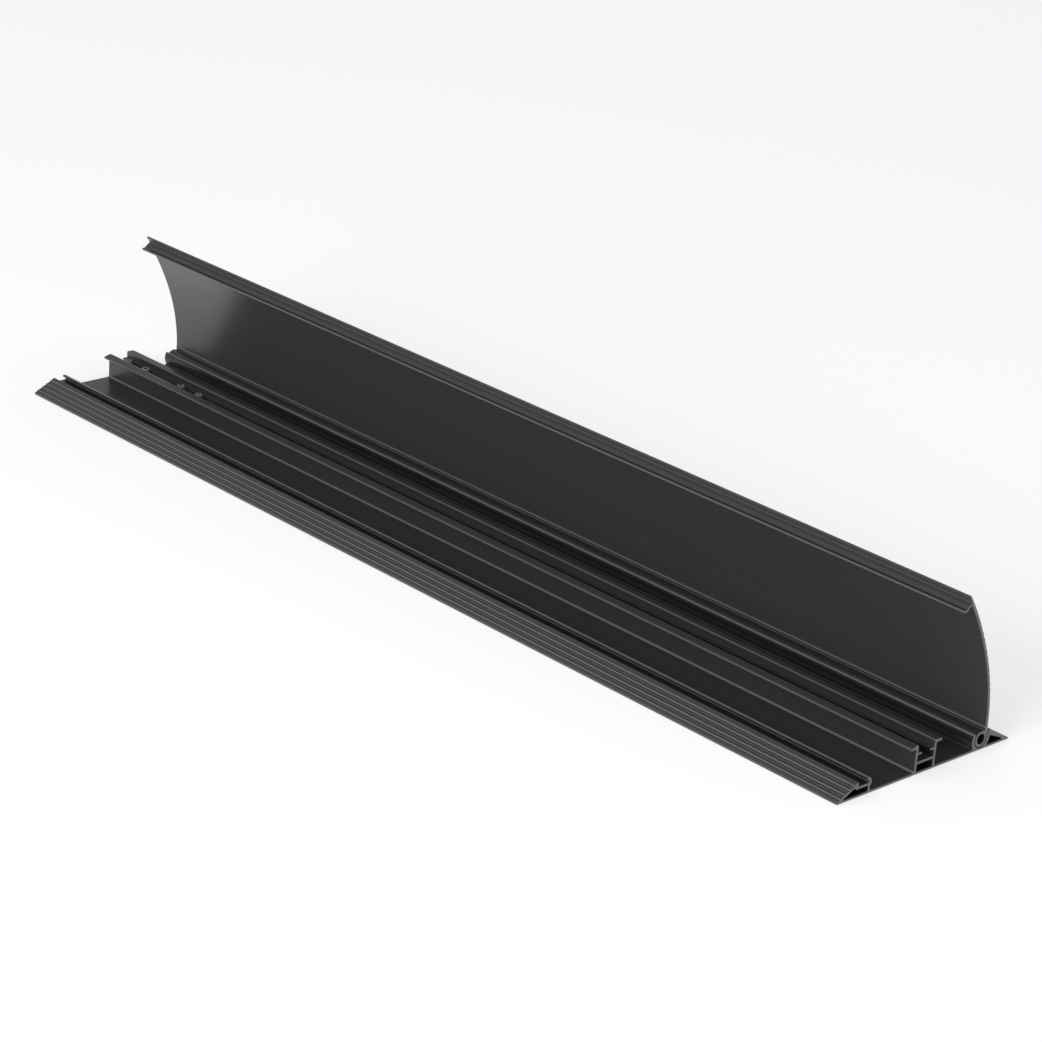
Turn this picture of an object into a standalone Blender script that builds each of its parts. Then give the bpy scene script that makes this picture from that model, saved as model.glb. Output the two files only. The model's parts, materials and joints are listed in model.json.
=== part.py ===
"""Overfloor cable raceway with a hinged cover.

Two extruded aluminium profiles of one length. The base carries two cable
compartments, a slotted divider, two hollow ramps and a C-shaped hinge cup.
The cover is a crowned panel whose round bead turns in that cup and whose
front edge snaps over a bulbed rib of the base. A coupling bar with set
screws lies in the divider's slot at the left end, ready for the next length.

Sections are drawn in millimetres in the Y-Z plane, Y from the front ramp's
tip to the back ramp's tip and Z up from the floor, and are then extruded
along X. The model is in metres, +Z up, with its origin at the middle of the
underside. The cover is drawn closed and then stands open against its stop.
"""

import math

import bmesh
import bpy
from mathutils import Matrix, Vector

MM = 0.001

# Overall sizes, in millimetres
LENGTH = 830.0
WIDTH = 158.0
FLOOR = 1.6
WALL = 1.9

# Radii of edges and roots
CRISP = 0.3
EASED = 0.5
ROUND = 0.8
FILLET = 1.6

# Front ramp, which rises from the front tip to the lip of the cover groove
RAMP_NOSE = 1.7
RAMP_SLOPE = 0.48
RAMP_WALL = 2.1
RAMP_TOP_Y = 17.6
RAMP_LIP_RISE = 0.2
RAMP_LIP_DROP = 0.7
CAVITY_PEAK_Y = 15.2
CAVITY_SHOULDER_Y = 16.7
TREAD_FIRST_Y = 2.1
TREAD_PITCH = 3.9
TREAD_COUNT = 4
# Corners of one tread, from its back to its front: place behind its front edge, height over the ramp
TREAD_CORNERS = ((3.1, 0.0), (0.6, 0.3), (0.1, 0.4), (-0.15, 0.0))

# Cover groove behind the ramp, and the bulbed rib that the cover snaps over
GROOVE_LEFT = 18.4
GROOVE_FLOOR = 7.2
GROOVE_UNDER = 5.2
RIB_LEFT = 27.0
RIB_RIGHT = 28.9
RIB_NECK_Z = 4.6
BULB_CENTRE = (26.4, 7.3)
BULB_RADIUS = 3.8
BULB_WALL = 1.8
BULB_NECK_ANGLE = -32.0
BULB_TIP_ANGLE = 88.0

# Divider: two walls, a web, an upper slot with lips, and a flange each side
DIV_LEFT = 68.7
DIV_RIGHT = 87.6
DIV_LEFT_WALL = 2.1
WEB_UNDER = 6.6
WEB_TOP = 8.5
LIP_UNDER = 12.9
LIP_TOP = 14.6
LIP_REACH_LEFT = 3.7
LIP_REACH_RIGHT = 3.9
FLANGE_UNDER = 17.2
FLANGE_TOP = 19.0
FLANGE_LEFT_TIP = 18.7
FLANGE_REACH = 4.8
DIV_LEFT_TOP = 20.0
DIV_RIGHT_TOP = 19.3

# Hinge: the bead of the cover in the C-shaped cup of the base
HINGE = (130.5, 7.3)
BEAD_RADIUS = 5.4
BORE_RADIUS = 3.4
CUP_RADIUS = 5.9
CUP_OUTER = 8.3
CUP_LEFT_ANGLE = 148.0
CUP_RIGHT_ANGLE = 20.0
ARM_STOP = (125.4, 11.2)
ARM_TIP = (123.6, 12.2)
ARM_TOP_ANGLE = 150.0
ARM_FOOT_ANGLE = 212.0

# Back ramp, which falls from the hinge cup to the back tip
BACK_STOP = (137.75, 10.2)
BACK_TOP = (137.45, 12.85)
BACK_NOSE = 0.95
BACK_CAVITY_ANGLE = 3.0
BACK_CAVITY_TIP = (150.9, 2.7)

# Cover, drawn closed: a front and a back arc that share their tangent at the crest
CREST = (78.0, 22.8)
FRONT_RADIUS = 205.0
BACK_RADIUS = 145.0
PANEL = 2.3
PANEL_FRONT_Y = 33.4
PANEL_STOP_Y = 124.9
PANEL_FOOT_Y = 126.2
COVER_LIP = 1.3
COVER_LIP_Y = 24.2
COVER_LIP_ROOT_Y = 29.4
RIB_COUNT = 12
RIB_PITCH = 4.87
RIB_DEPTH = 0.4
RIB_BAND_MIDDLE = 79.0
# Places across one rib, from its back valley to its front one, as shares of the pitch
RIB_PLACES = (0.5, 0.38, 0.2, 0.0, -0.2, -0.38)

# Foot of the cover: a ridge that stops at the cup's arm, the bead's neck, and a heel that stops at the ramp
FOOT_RIDGE = ((124.83, 12.06), (125.5, 11.94))
FOOT_NOTCH = (126.07, 12.32)
NECK_INNER_ANGLE = 132.5
NECK_OUTER_ANGLE = 97.0
FOOT_HEEL = ((129.7, 14.75), (127.85, 14.95))

# Snap leg under the cover's front edge: its middle line from the root down, its round end and its inner root
LEG_LINE = ((30.3, 14.5), (31.5, 12.8), (32.4, 10.7), (32.3, 9.3))
LEG_END = (32.0, 8.4)
LEG_ROOT = (31.3, 14.95)
LEG_WALL = 1.8
OPEN_ANGLE = 70.5

# Coupling bar and set screws in the divider's slot
BAR_LENGTH = 114.0
BAR_WIDTH = 14.0
BAR_THICK = 3.2
BAR_CHAMFER = 0.4
BAR_HOLE_RADIUS = 3.3
SCREW_RADIUS = 3.0
SCREW_LENGTH = 8.2
SCREW_CHAMFER = 0.5
SCREW_POINT_RADIUS = 1.4
SCREW_POINT_HEIGHT = 1.5
SCREW_NEAR = 22.5
SCREW_FAR = 45.0
SOCKET_RADIUS = 1.75
SOCKET_SIDES = 6
SOCKET_DEPTH = 3.0
GAP = 0.3

# Fineness of round stretches
ARC_STEP = 10.0
HINGE_STEP = 6.0
CORNER_STEP = 24.0
ROUND_SEGMENTS = 24
BORE_SEGMENTS = 48
FRONT_SEGMENTS = 8
BACK_SEGMENTS = 6
INNER_SEGMENTS = 18
SHARP_DEG = 35.0


def remove_scene_objects():
    """Empty the scene before the model is made."""
    for obj in list(bpy.data.objects):
        bpy.data.objects.remove(obj, do_unlink=True)


def metal(name, rgb, roughness):
    """A metal Principled material."""
    material = bpy.data.materials.new(name)
    material.use_nodes = True
    shader = material.node_tree.nodes["Principled BSDF"]
    shader.inputs["Base Color"].default_value = (*rgb, 1.0)
    shader.inputs["Metallic"].default_value = 1.0
    shader.inputs["Roughness"].default_value = roughness
    return material


def polar(centre, radius, degrees):
    """The point at an angle and a radius about centre."""
    angle = math.radians(degrees)
    return (centre[0] + radius * math.cos(angle), centre[1] + radius * math.sin(angle))


def arc(centre, radius, start, end, step=ARC_STEP):
    """Points of an arc about centre, from start to end in degrees, both included."""
    segments = max(2, math.ceil(abs(end - start) / step))
    return [polar(centre, radius, start + (end - start) * i / segments) for i in range(segments + 1)]


def circle(centre, radius, segments):
    """Points of a whole circle about centre."""
    return [polar(centre, radius, 360.0 * i / segments) for i in range(segments)]


def rounded(corners):
    """A closed outline from corners (y, z) or (y, z, r), each r drawn as a tangent arc."""
    outline = []
    count = len(corners)
    for i, corner in enumerate(corners):
        here = Vector(corner[:2])
        if len(corner) == 2:
            outline.append(tuple(here))
            continue
        radius = corner[2]
        before = Vector(corners[i - 1][:2]) - here
        after = Vector(corners[(i + 1) % count][:2]) - here
        half = before.angle(after) / 2.0
        reach = radius / math.tan(half)
        centre = here + (before.normalized() + after.normalized()).normalized() * (radius / math.sin(half))
        first = here + before.normalized() * reach - centre
        turn = math.pi - 2.0 * half
        side = 1.0 if before.x * after.y - before.y * after.x < 0.0 else -1.0
        steps = max(2, math.ceil(math.degrees(turn) / CORNER_STEP))
        for k in range(steps + 1):
            spoke = Matrix.Rotation(side * turn * k / steps, 2) @ first
            outline.append(tuple(centre + spoke))
    return outline


def ramp_z(y):
    """Height of the plain front ramp face at y."""
    return RAMP_NOSE + RAMP_SLOPE * y


def base_outline():
    """The base's outer outline, counter-clockwise seen from +X."""
    corners = [(0.0, 0.0, EASED), (WIDTH, 0.0, CRISP), (WIDTH, BACK_NOSE, CRISP)]
    corners += hinge_cup()
    corners += divider()
    corners += snap_rib()
    corners += [
        (GROOVE_LEFT, GROOVE_FLOOR, ROUND),
        (GROOVE_LEFT, ramp_z(RAMP_TOP_Y) - RAMP_LIP_DROP, EASED),
        (RAMP_TOP_Y, ramp_z(RAMP_TOP_Y) + RAMP_LIP_RISE, EASED),
    ]
    corners += treads()
    corners.append((0.0, RAMP_NOSE, ROUND))
    return rounded(corners)


def hinge_cup():
    """The back ramp's top, the cup's inside and its left arm down to the compartment floor."""
    corners = [(*BACK_TOP, CRISP), (*BACK_STOP, CRISP)]
    corners += arc(HINGE, CUP_RADIUS, CUP_RIGHT_ANGLE, CUP_LEFT_ANGLE - 360.0, HINGE_STEP)
    corners += [(*ARM_STOP, CRISP), (*ARM_TIP, EASED)]
    corners += arc(HINGE, CUP_OUTER, ARM_TOP_ANGLE, ARM_FOOT_ANGLE)
    foot = polar(HINGE, CUP_OUTER, ARM_FOOT_ANGLE)
    slope = math.radians(ARM_FOOT_ANGLE - 180.0)
    corners.append((foot[0] + (foot[1] - FLOOR) * math.tan(slope), FLOOR, ROUND))
    return corners


def divider():
    """The divider's right wall with its flange, the slot between its walls, and its left wall and flange."""
    left_inner = DIV_LEFT + DIV_LEFT_WALL
    right_inner = DIV_RIGHT - WALL
    lip_left = left_inner + LIP_REACH_LEFT
    lip_right = right_inner - LIP_REACH_RIGHT
    return [
        (DIV_RIGHT, FLOOR, FILLET),
        (DIV_RIGHT, FLANGE_UNDER, EASED),
        (DIV_RIGHT + FLANGE_REACH, FLANGE_UNDER, ROUND),
        (DIV_RIGHT + FLANGE_REACH, FLANGE_TOP, ROUND),
        (DIV_RIGHT, DIV_RIGHT_TOP, FILLET),
        (right_inner, DIV_RIGHT_TOP, ROUND),
        (right_inner, LIP_TOP, EASED),
        (lip_right, LIP_TOP, ROUND),
        (lip_right, LIP_UNDER, ROUND),
        (right_inner, LIP_UNDER, CRISP),
        (right_inner, WEB_TOP, CRISP),
        (left_inner, WEB_TOP, CRISP),
        (left_inner, LIP_UNDER, CRISP),
        (lip_left, LIP_UNDER, ROUND),
        (lip_left, LIP_TOP, ROUND),
        (left_inner, LIP_TOP, EASED),
        (left_inner, DIV_LEFT_TOP, ROUND),
        (DIV_LEFT, DIV_LEFT_TOP, FILLET),
        (DIV_LEFT - FLANGE_REACH, FLANGE_LEFT_TIP, ROUND),
        (DIV_LEFT - FLANGE_REACH, FLANGE_UNDER, ROUND),
        (DIV_LEFT, FLANGE_UNDER, EASED),
        (DIV_LEFT, FLOOR, FILLET),
    ]


def snap_rib():
    """The rib up from the floor, its bulb, and the bulb's hooked inside down to the groove's floor."""
    inner = BULB_RADIUS - BULB_WALL
    half_wall = BULB_WALL / 2.0
    tip = polar(BULB_CENTRE, inner + half_wall, BULB_TIP_ANGLE)
    floor_angle = math.degrees(math.asin((GROOVE_FLOOR - BULB_CENTRE[1]) / inner))
    corners = [(RIB_RIGHT, FLOOR, FILLET), (RIB_RIGHT, RIB_NECK_Z, EASED)]
    corners += arc(BULB_CENTRE, BULB_RADIUS, BULB_NECK_ANGLE, BULB_TIP_ANGLE)
    corners += arc(tip, half_wall, BULB_TIP_ANGLE, BULB_TIP_ANGLE + 180.0, CORNER_STEP)[1:-1]
    corners += arc(BULB_CENTRE, inner, BULB_TIP_ANGLE, floor_angle, CORNER_STEP)
    return corners


def treads():
    """The anti-slip treads of the front ramp, from the top one down: each steps up at its front."""
    points = []
    for i in reversed(range(TREAD_COUNT)):
        front = TREAD_FIRST_Y + TREAD_PITCH * i
        points += [(front + place, ramp_z(front + place) + height) for place, height in TREAD_CORNERS]
    return points


def front_cavity():
    """The hollow under the front ramp and the cover groove."""
    drop = RAMP_WALL * math.hypot(1.0, RAMP_SLOPE)
    toe = (FLOOR + drop - RAMP_NOSE) / RAMP_SLOPE
    return rounded([
        (toe, FLOOR, CRISP),
        (RIB_LEFT, FLOOR, ROUND),
        (RIB_LEFT, GROOVE_UNDER, EASED),
        (CAVITY_SHOULDER_Y, GROOVE_UNDER, EASED),
        (CAVITY_PEAK_Y, ramp_z(CAVITY_PEAK_Y) - drop, CRISP),
    ])


def divider_cavity():
    """The closed hollow under the divider's web."""
    left = DIV_LEFT + DIV_LEFT_WALL
    right = DIV_RIGHT - WALL
    return rounded([
        (left, FLOOR, ROUND),
        (right, FLOOR, ROUND),
        (right, WEB_UNDER, EASED),
        (left, WEB_UNDER, EASED),
    ])


def back_cavity():
    """The hollow under the back ramp, whose left side follows the hinge cup."""
    floor_angle = math.degrees(math.asin((FLOOR - HINGE[1]) / CUP_OUTER))
    corners = arc(HINGE, CUP_OUTER, BACK_CAVITY_ANGLE, floor_angle)
    corners += [(BACK_CAVITY_TIP[0], FLOOR, CRISP), (*BACK_CAVITY_TIP, EASED)]
    return rounded(corners)


def crown_point(y, depth):
    """A point of the cover depth below the crown surface, at the crown surface's own y."""
    radius = FRONT_RADIUS if y < CREST[0] else BACK_RADIUS
    angle = math.asin((y - CREST[0]) / radius)
    inner = radius - depth
    return (CREST[0] + inner * math.sin(angle), CREST[1] - radius + inner * math.cos(angle))


def crown_run(y_start, y_end, depth, segments):
    """Points of the crown surface between two y values, depth below it."""
    return [crown_point(y_start + (y_end - y_start) * i / segments, depth) for i in range(segments + 1)]


def rib_band():
    """The front and the back edge of the cover's ribbed band."""
    half = RIB_COUNT * RIB_PITCH / 2.0
    return (RIB_BAND_MIDDLE - half, RIB_BAND_MIDDLE + half)


def cover_ribs():
    """The cover's ribbed band, from the back rib forward: rounded ribs with narrow valleys."""
    front, back = rib_band()
    points = []
    for i in range(RIB_COUNT):
        middle = back - RIB_PITCH * (i + 0.5)
        for place in RIB_PLACES:
            depth = RIB_DEPTH * abs(2.0 * place) ** 3
            points.append(crown_point(middle + place * RIB_PITCH, depth))
    points.append(crown_point(front, RIB_DEPTH))
    return points


def cover_outline():
    """The closed cover's outer outline, counter-clockwise seen from +X."""
    band_front, band_back = rib_band()
    corners = [(*point, EASED) for point in FOOT_HEEL]
    corners.append((*crown_point(PANEL_FOOT_Y, 0.0), EASED))
    corners += crown_run(PANEL_FOOT_Y - 1.0, band_back + EASED, 0.0, BACK_SEGMENTS)
    corners += cover_ribs()
    corners += crown_run(band_front - EASED, COVER_LIP_Y + 1.0, 0.0, FRONT_SEGMENTS)
    corners += [
        (*crown_point(COVER_LIP_Y, 0.0), EASED),
        (*crown_point(COVER_LIP_Y, COVER_LIP), EASED),
        (*crown_point(COVER_LIP_ROOT_Y, COVER_LIP), ROUND),
    ]
    corners += leg()
    corners += crown_run(PANEL_FRONT_Y, PANEL_STOP_Y, PANEL, INNER_SEGMENTS)
    corners += [(*point, EASED) for point in FOOT_RIDGE]
    corners.append((*FOOT_NOTCH, CRISP))
    corners += arc(HINGE, BEAD_RADIUS, NECK_INNER_ANGLE, NECK_OUTER_ANGLE + 360.0, HINGE_STEP)
    return rounded(corners)


def leg():
    """The snap leg, down its front side, round its end and up its back side to its root."""
    half = LEG_WALL / 2.0
    front = []
    back = []
    for behind, point, ahead in zip(LEG_LINE, LEG_LINE[1:], LEG_LINE[2:] + LEG_LINE[-1:]):
        along = (Vector(ahead) - Vector(behind)).normalized()
        side = Vector((-along.y, along.x)) * half
        front.append((point[0] - side.x, point[1] - side.y))
        back.append((point[0] + side.x, point[1] + side.y))
    end = arc(LEG_END, half, 190.0, 350.0, CORNER_STEP)
    return front + end + back[:0:-1] + [(*LEG_ROOT, ROUND)]


def extrude_section(name, outer, holes, material, pivot=(WIDTH / 2.0, 0.0)):
    """A named object: the section with its holes, extruded along the whole length.

    The mesh is drawn about the pivot, which becomes the object's origin.
    """
    bm = bmesh.new()
    left_end = -LENGTH / 2.0 * MM
    edges = []
    for loop in [outer, *holes]:
        verts = [bm.verts.new((left_end, (y - pivot[0]) * MM, (z - pivot[1]) * MM)) for y, z in loop]
        edges += [bm.edges.new((verts[i - 1], verts[i])) for i in range(len(verts))]
    bmesh.ops.triangle_fill(bm, use_beauty=True, edges=edges, normal=(-1.0, 0.0, 0.0))
    made = bmesh.ops.extrude_face_region(bm, geom=bm.faces[:])
    moved = [item for item in made["geom"] if isinstance(item, bmesh.types.BMVert)]
    bmesh.ops.translate(bm, verts=moved, vec=(LENGTH * MM, 0.0, 0.0))
    bmesh.ops.recalc_face_normals(bm, faces=bm.faces[:])
    obj = mesh_object(name, bm, material)
    obj.location = (0.0, (pivot[0] - WIDTH / 2.0) * MM, pivot[1] * MM)
    return obj


def mesh_object(name, bm, material):
    """Turn a bmesh into a named object with round stretches shaded smooth."""
    mesh = bpy.data.meshes.new(name)
    bm.to_mesh(mesh)
    bm.free()
    mesh.materials.append(material)
    mesh.shade_smooth()
    mesh.set_sharp_from_angle(angle=math.radians(SHARP_DEG))
    obj = bpy.data.objects.new(name, mesh)
    bpy.context.scene.collection.objects.link(obj)
    return obj


def prism(bm, outline, low, high):
    """Add a closed upright prism over an X-Y outline, between two heights."""
    lower = [bm.verts.new((x, y, low)) for x, y in outline]
    upper = [bm.verts.new((x, y, high)) for x, y in outline]
    bm.faces.new(lower[::-1])
    bm.faces.new(upper)
    for i in range(len(outline)):
        bm.faces.new((lower[i - 1], lower[i], upper[i], upper[i - 1]))


def screw_offsets():
    """Places of the set screws along the bar, from its middle."""
    inner = SCREW_FAR / 2.0
    outer = inner + SCREW_NEAR
    return [-outer, -inner, inner, outer]


def bar_middle():
    """The X and Y of the bar's middle, which lies in the middle of the divider's slot at the left end."""
    left = DIV_LEFT + DIV_LEFT_WALL
    right = DIV_RIGHT - WALL
    return ((BAR_LENGTH - LENGTH) / 2.0, (left + right - WIDTH) / 2.0)


def coupling_bar(material):
    """The flat bar held up against the lips by its set screws, with a hole for each."""
    half_length = BAR_LENGTH / 2.0 * MM
    half_width = BAR_WIDTH / 2.0 * MM
    corners = [
        (-half_length, -half_width),
        (half_length, -half_width),
        (half_length, half_width),
        (-half_length, half_width),
    ]
    bm = bmesh.new()
    prism(bm, corners, -BAR_THICK * MM, 0.0)
    bmesh.ops.bevel(bm, geom=bm.edges[:], offset=BAR_CHAMFER * MM, segments=1, affect="EDGES")
    bar = mesh_object("coupling_bar", bm, material)
    x, y = bar_middle()
    bar.location = (x * MM, y * MM, (LIP_UNDER - GAP) * MM)

    holes = bmesh.new()
    for offset in screw_offsets():
        ring = circle((offset * MM, 0.0), BAR_HOLE_RADIUS * MM, ROUND_SEGMENTS)
        prism(holes, ring, -2.0 * BAR_THICK * MM, BAR_THICK * MM)
    cutter = mesh_object("bar_hole_cutter", holes, material)
    cutter.location = bar.location
    cutter.hide_render = True
    cutter.display_type = "WIRE"
    cut = bar.modifiers.new("screw_holes", "BOOLEAN")
    cut.operation = "DIFFERENCE"
    cut.solver = "EXACT"
    cut.object = cutter


def screw_rings():
    """Radius, height and side count of each ring of a set screw, from its point to its socket's floor."""
    top = SCREW_LENGTH
    return [
        (SCREW_POINT_RADIUS, 0.0, ROUND_SEGMENTS),
        (SCREW_RADIUS, SCREW_POINT_HEIGHT, ROUND_SEGMENTS),
        (SCREW_RADIUS, top - SCREW_CHAMFER, ROUND_SEGMENTS),
        (SCREW_RADIUS - SCREW_CHAMFER, top, ROUND_SEGMENTS),
        (SOCKET_RADIUS, top, SOCKET_SIDES),
        (SOCKET_RADIUS, top - SOCKET_DEPTH, SOCKET_SIDES),
    ]


def set_screw(number, offset, material):
    """A set screw with a coned point and a hexagon socket, standing in the bar's hole."""
    bm = bmesh.new()
    rings = []
    for radius, height, sides in screw_rings():
        ring = circle((0.0, 0.0), radius * MM, sides)
        rings.append([bm.verts.new((x, y, height * MM)) for x, y in ring])
    bm.faces.new(rings[0][::-1])
    bm.faces.new(rings[-1])
    for lower, upper in zip(rings, rings[1:]):
        share = len(lower) // len(upper)
        for i in range(len(upper)):
            fan = [lower[(i * share + k) % len(lower)] for k in range(share + 1)]
            bm.faces.new([*fan, upper[(i + 1) % len(upper)], upper[i]])
    bmesh.ops.recalc_face_normals(bm, faces=bm.faces[:])
    screw = mesh_object(f"set_screw_{number}", bm, material)
    x, y = bar_middle()
    screw.location = ((x + offset) * MM, y * MM, (WEB_TOP + GAP) * MM)


def build():
    """Make every piece of the raceway."""
    remove_scene_objects()
    base_metal = metal("black_base_aluminium", (0.030, 0.030, 0.031), 0.42)
    cover_metal = metal("black_cover_aluminium", (0.030, 0.030, 0.031), 0.42)
    bar_metal = metal("bar_steel", (0.10, 0.10, 0.10), 0.45)
    screw_metal = metal("screw_steel", (0.06, 0.06, 0.062), 0.38)

    cavities = [front_cavity(), divider_cavity(), back_cavity()]
    extrude_section("base_profile", base_outline(), cavities, base_metal)
    bore = circle(HINGE, BORE_RADIUS, BORE_SEGMENTS)
    cover = extrude_section("hinged_cover", cover_outline(), [bore], cover_metal, pivot=HINGE)
    cover.rotation_euler = (math.radians(-OPEN_ANGLE), 0.0, 0.0)
    coupling_bar(bar_metal)
    for number, offset in enumerate(screw_offsets(), start=1):
        set_screw(number, offset, screw_metal)


build()
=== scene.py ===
"""Looks of an overfloor cable raceway with a hinged cover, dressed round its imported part.

The raceway is two aluminium extrusions, dyed black: a low base with cable compartments, and a
crowned cover whose bead turns in the base's hinge cup. A coupling bar with four set screws lies in
the divider's slot at the left end.

Both extrusions are drawn here again with finer arcs, as sections in millimetres in the Y-Z plane,
Y from the front ramp's tip and Z up from the floor, and each is carried along X. Lengths, the
hinge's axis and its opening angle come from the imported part.
"""

from __future__ import annotations

import json
import logging
import math
from dataclasses import dataclass, field, replace
from enum import Enum

import bpy
import numpy as np
from mathutils import Matrix, Vector
from mathutils.geometry import tessellate_polygon

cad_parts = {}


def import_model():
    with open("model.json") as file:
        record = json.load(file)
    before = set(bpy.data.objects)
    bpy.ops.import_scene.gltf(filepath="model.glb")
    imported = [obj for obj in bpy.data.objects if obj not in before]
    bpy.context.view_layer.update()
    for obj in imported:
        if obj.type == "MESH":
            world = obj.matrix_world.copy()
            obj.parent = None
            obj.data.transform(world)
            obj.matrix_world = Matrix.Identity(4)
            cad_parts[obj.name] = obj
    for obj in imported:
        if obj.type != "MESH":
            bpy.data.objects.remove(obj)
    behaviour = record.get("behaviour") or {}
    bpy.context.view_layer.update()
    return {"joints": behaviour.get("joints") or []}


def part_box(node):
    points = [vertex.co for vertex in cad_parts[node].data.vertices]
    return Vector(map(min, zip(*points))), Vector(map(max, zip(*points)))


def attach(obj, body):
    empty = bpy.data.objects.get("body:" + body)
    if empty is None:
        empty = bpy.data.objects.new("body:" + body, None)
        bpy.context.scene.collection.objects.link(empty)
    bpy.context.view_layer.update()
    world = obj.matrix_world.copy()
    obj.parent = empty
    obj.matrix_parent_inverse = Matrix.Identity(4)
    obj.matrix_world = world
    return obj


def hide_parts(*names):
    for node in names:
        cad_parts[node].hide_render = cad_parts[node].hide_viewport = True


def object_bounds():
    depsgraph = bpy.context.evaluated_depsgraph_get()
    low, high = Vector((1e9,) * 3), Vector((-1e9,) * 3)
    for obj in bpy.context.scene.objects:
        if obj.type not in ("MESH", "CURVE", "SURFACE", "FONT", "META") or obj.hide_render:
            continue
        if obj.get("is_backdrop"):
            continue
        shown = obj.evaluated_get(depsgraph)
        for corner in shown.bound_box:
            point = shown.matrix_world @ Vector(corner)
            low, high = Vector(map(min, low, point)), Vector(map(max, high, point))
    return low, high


Array = np.ndarray
Point = tuple[float, float]
Tree = bpy.types.NodeTree
Node = bpy.types.Node
Socket = bpy.types.NodeSocket
Material = bpy.types.Material
Piece = bpy.types.Object

LOG = logging.getLogger("raceway")
MM = 0.001
# Share at each vertex of edge wear together with a painted highlight
WEAR_AND_HIGHLIGHT = "edge_wear_and_highlight"
# Share at each vertex of painted shade in roots, recesses, hollows and sockets
PAINTED_SHADE = "painted_root_shade"
SECTION_UV = "section_uv"

# Radians about X, Y and Z that turn a noise's lattice away from every flat face
OFF_AXIS = (0.61, 0.43, 0.87)
# Where the length's middle falls on the section UV map's noises, away from their lattice lines
UV_START = 0.37
# Nearly all values of a noise lie between these
NOISE_SPAN = (0.3, 0.7)
# The distance between two rings of the wave texture at scale 1
WAVE_PITCH = 0.314
BUMP_STRENGTH = 0.5
# Keeps a length, an angle or a product from dividing by zero
TINY = 1e-9


class Body(Enum):
    """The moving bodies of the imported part."""

    BASE = "base"
    COVER = "cover"


class Slot(Enum):
    """The record's material slots, one for each kind of piece."""

    BASE = "black_base_aluminium"
    COVER = "black_cover_aluminium"
    BAR = "bar_steel"
    SCREW = "screw_steel"


class Turn(Enum):
    """The way round that a section's ring runs, seen from +X."""

    OUTER = 1.0
    HOLLOW = -1.0


class Way(Enum):
    """The axis that a section is carried along, as the roll that brings its columns to X, Y and Z."""

    ALONG_X = 0
    UP_Z = -1


def linear(colour: str) -> tuple[float, float, float, float]:
    """Turn an sRGB hex colour into the linear colour that the shaders read.

    Args:
        colour: The colour as "#rrggbb".

    Returns:
        Red, green and blue from 0 to 1, and an alpha of 1.
    """
    channels = [int(colour[i:i + 2], 16) / 255.0 for i in (1, 3, 5)]
    light = [c / 12.92 if c <= 0.04045 else ((c + 0.055) / 1.055) ** 2.4 for c in channels]
    return (light[0], light[1], light[2], 1.0)


def plug(tree: Tree, node: Node, inputs: dict[str | int, object]) -> None:
    """Link or set a node's inputs.

    Args:
        tree: The node's tree.
        node: The node.
        inputs: Its inputs by name or number. A socket is linked, any other value is set.
    """
    for key, value in inputs.items():
        if isinstance(value, Socket):
            tree.links.new(value, node.inputs[key])
        else:
            node.inputs[key].default_value = value


def add_node(
    tree: Tree,
    kind: str,
    settings: dict[str, object] | None = None,
    inputs: dict[str | int, object] | None = None,
) -> Node:
    """Add a shader node with its settings and links.

    Args:
        tree: The tree that the node goes into.
        kind: The node's type name.
        settings: The node's properties by name.
        inputs: The node's inputs, as plug takes them.

    Returns:
        The new node.
    """
    node = tree.nodes.new(kind)
    for name, value in (settings or {}).items():
        setattr(node, name, value)
    plug(tree, node, inputs or {})
    return node


def grain_noise(tree: Tree, size_mm: float, detail: float) -> Node:
    """Add a noise over Object coordinates, turned so that no flat face lies along its lattice.

    Args:
        tree: The tree that the noise goes into.
        size_mm: The size of its largest features in millimetres.
        detail: The number of finer layers.

    Returns:
        The noise node.
    """
    place = add_node(tree, "ShaderNodeTexCoord")
    turned = add_node(tree, "ShaderNodeMapping", {"vector_type": "POINT"}, {
        "Vector": place.outputs["Object"], "Rotation": OFF_AXIS,
    })
    return add_node(tree, "ShaderNodeTexNoise", {"noise_dimensions": "3D"}, {
        "Vector": turned.outputs["Vector"], "Scale": 1.0 / (size_mm * MM), "Detail": detail,
    })


def drawn_noise(tree: Tree, uv: Socket, run_mm: float, width_mm: float, detail: float) -> Socket:
    """Add a noise over the section UV map, drawn out along the length as a die leaves it.

    Args:
        tree: The tree that the noise goes into.
        uv: The section UV map, in metres along the length and round the section.
        run_mm: How far its largest features run along the length, in millimetres.
        width_mm: How wide they are across it, in millimetres.
        detail: The number of finer layers.

    Returns:
        The noise's value.
    """
    place = add_node(tree, "ShaderNodeMapping", {"vector_type": "POINT"}, {
        "Vector": uv, "Location": (UV_START, 0.0, 0.0),
        "Scale": (1.0 / (run_mm * MM), 1.0 / (width_mm * MM), 1.0),
    })
    noise = add_node(tree, "ShaderNodeTexNoise", {"noise_dimensions": "2D"}, {
        "Vector": place.outputs["Vector"], "Scale": 1.0, "Detail": detail, "Roughness": 0.5,
    })
    return noise.outputs["Fac"]


def new_material(name: str) -> tuple[Material, Tree, Node]:
    """Make an empty node material.

    Args:
        name: The material's name.

    Returns:
        The material, its tree and its Principled shader, which is linked to the output.
    """
    material = bpy.data.materials.new(name)
    material.use_nodes = True
    tree = material.node_tree
    return material, tree, tree.nodes["Principled BSDF"]


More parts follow.
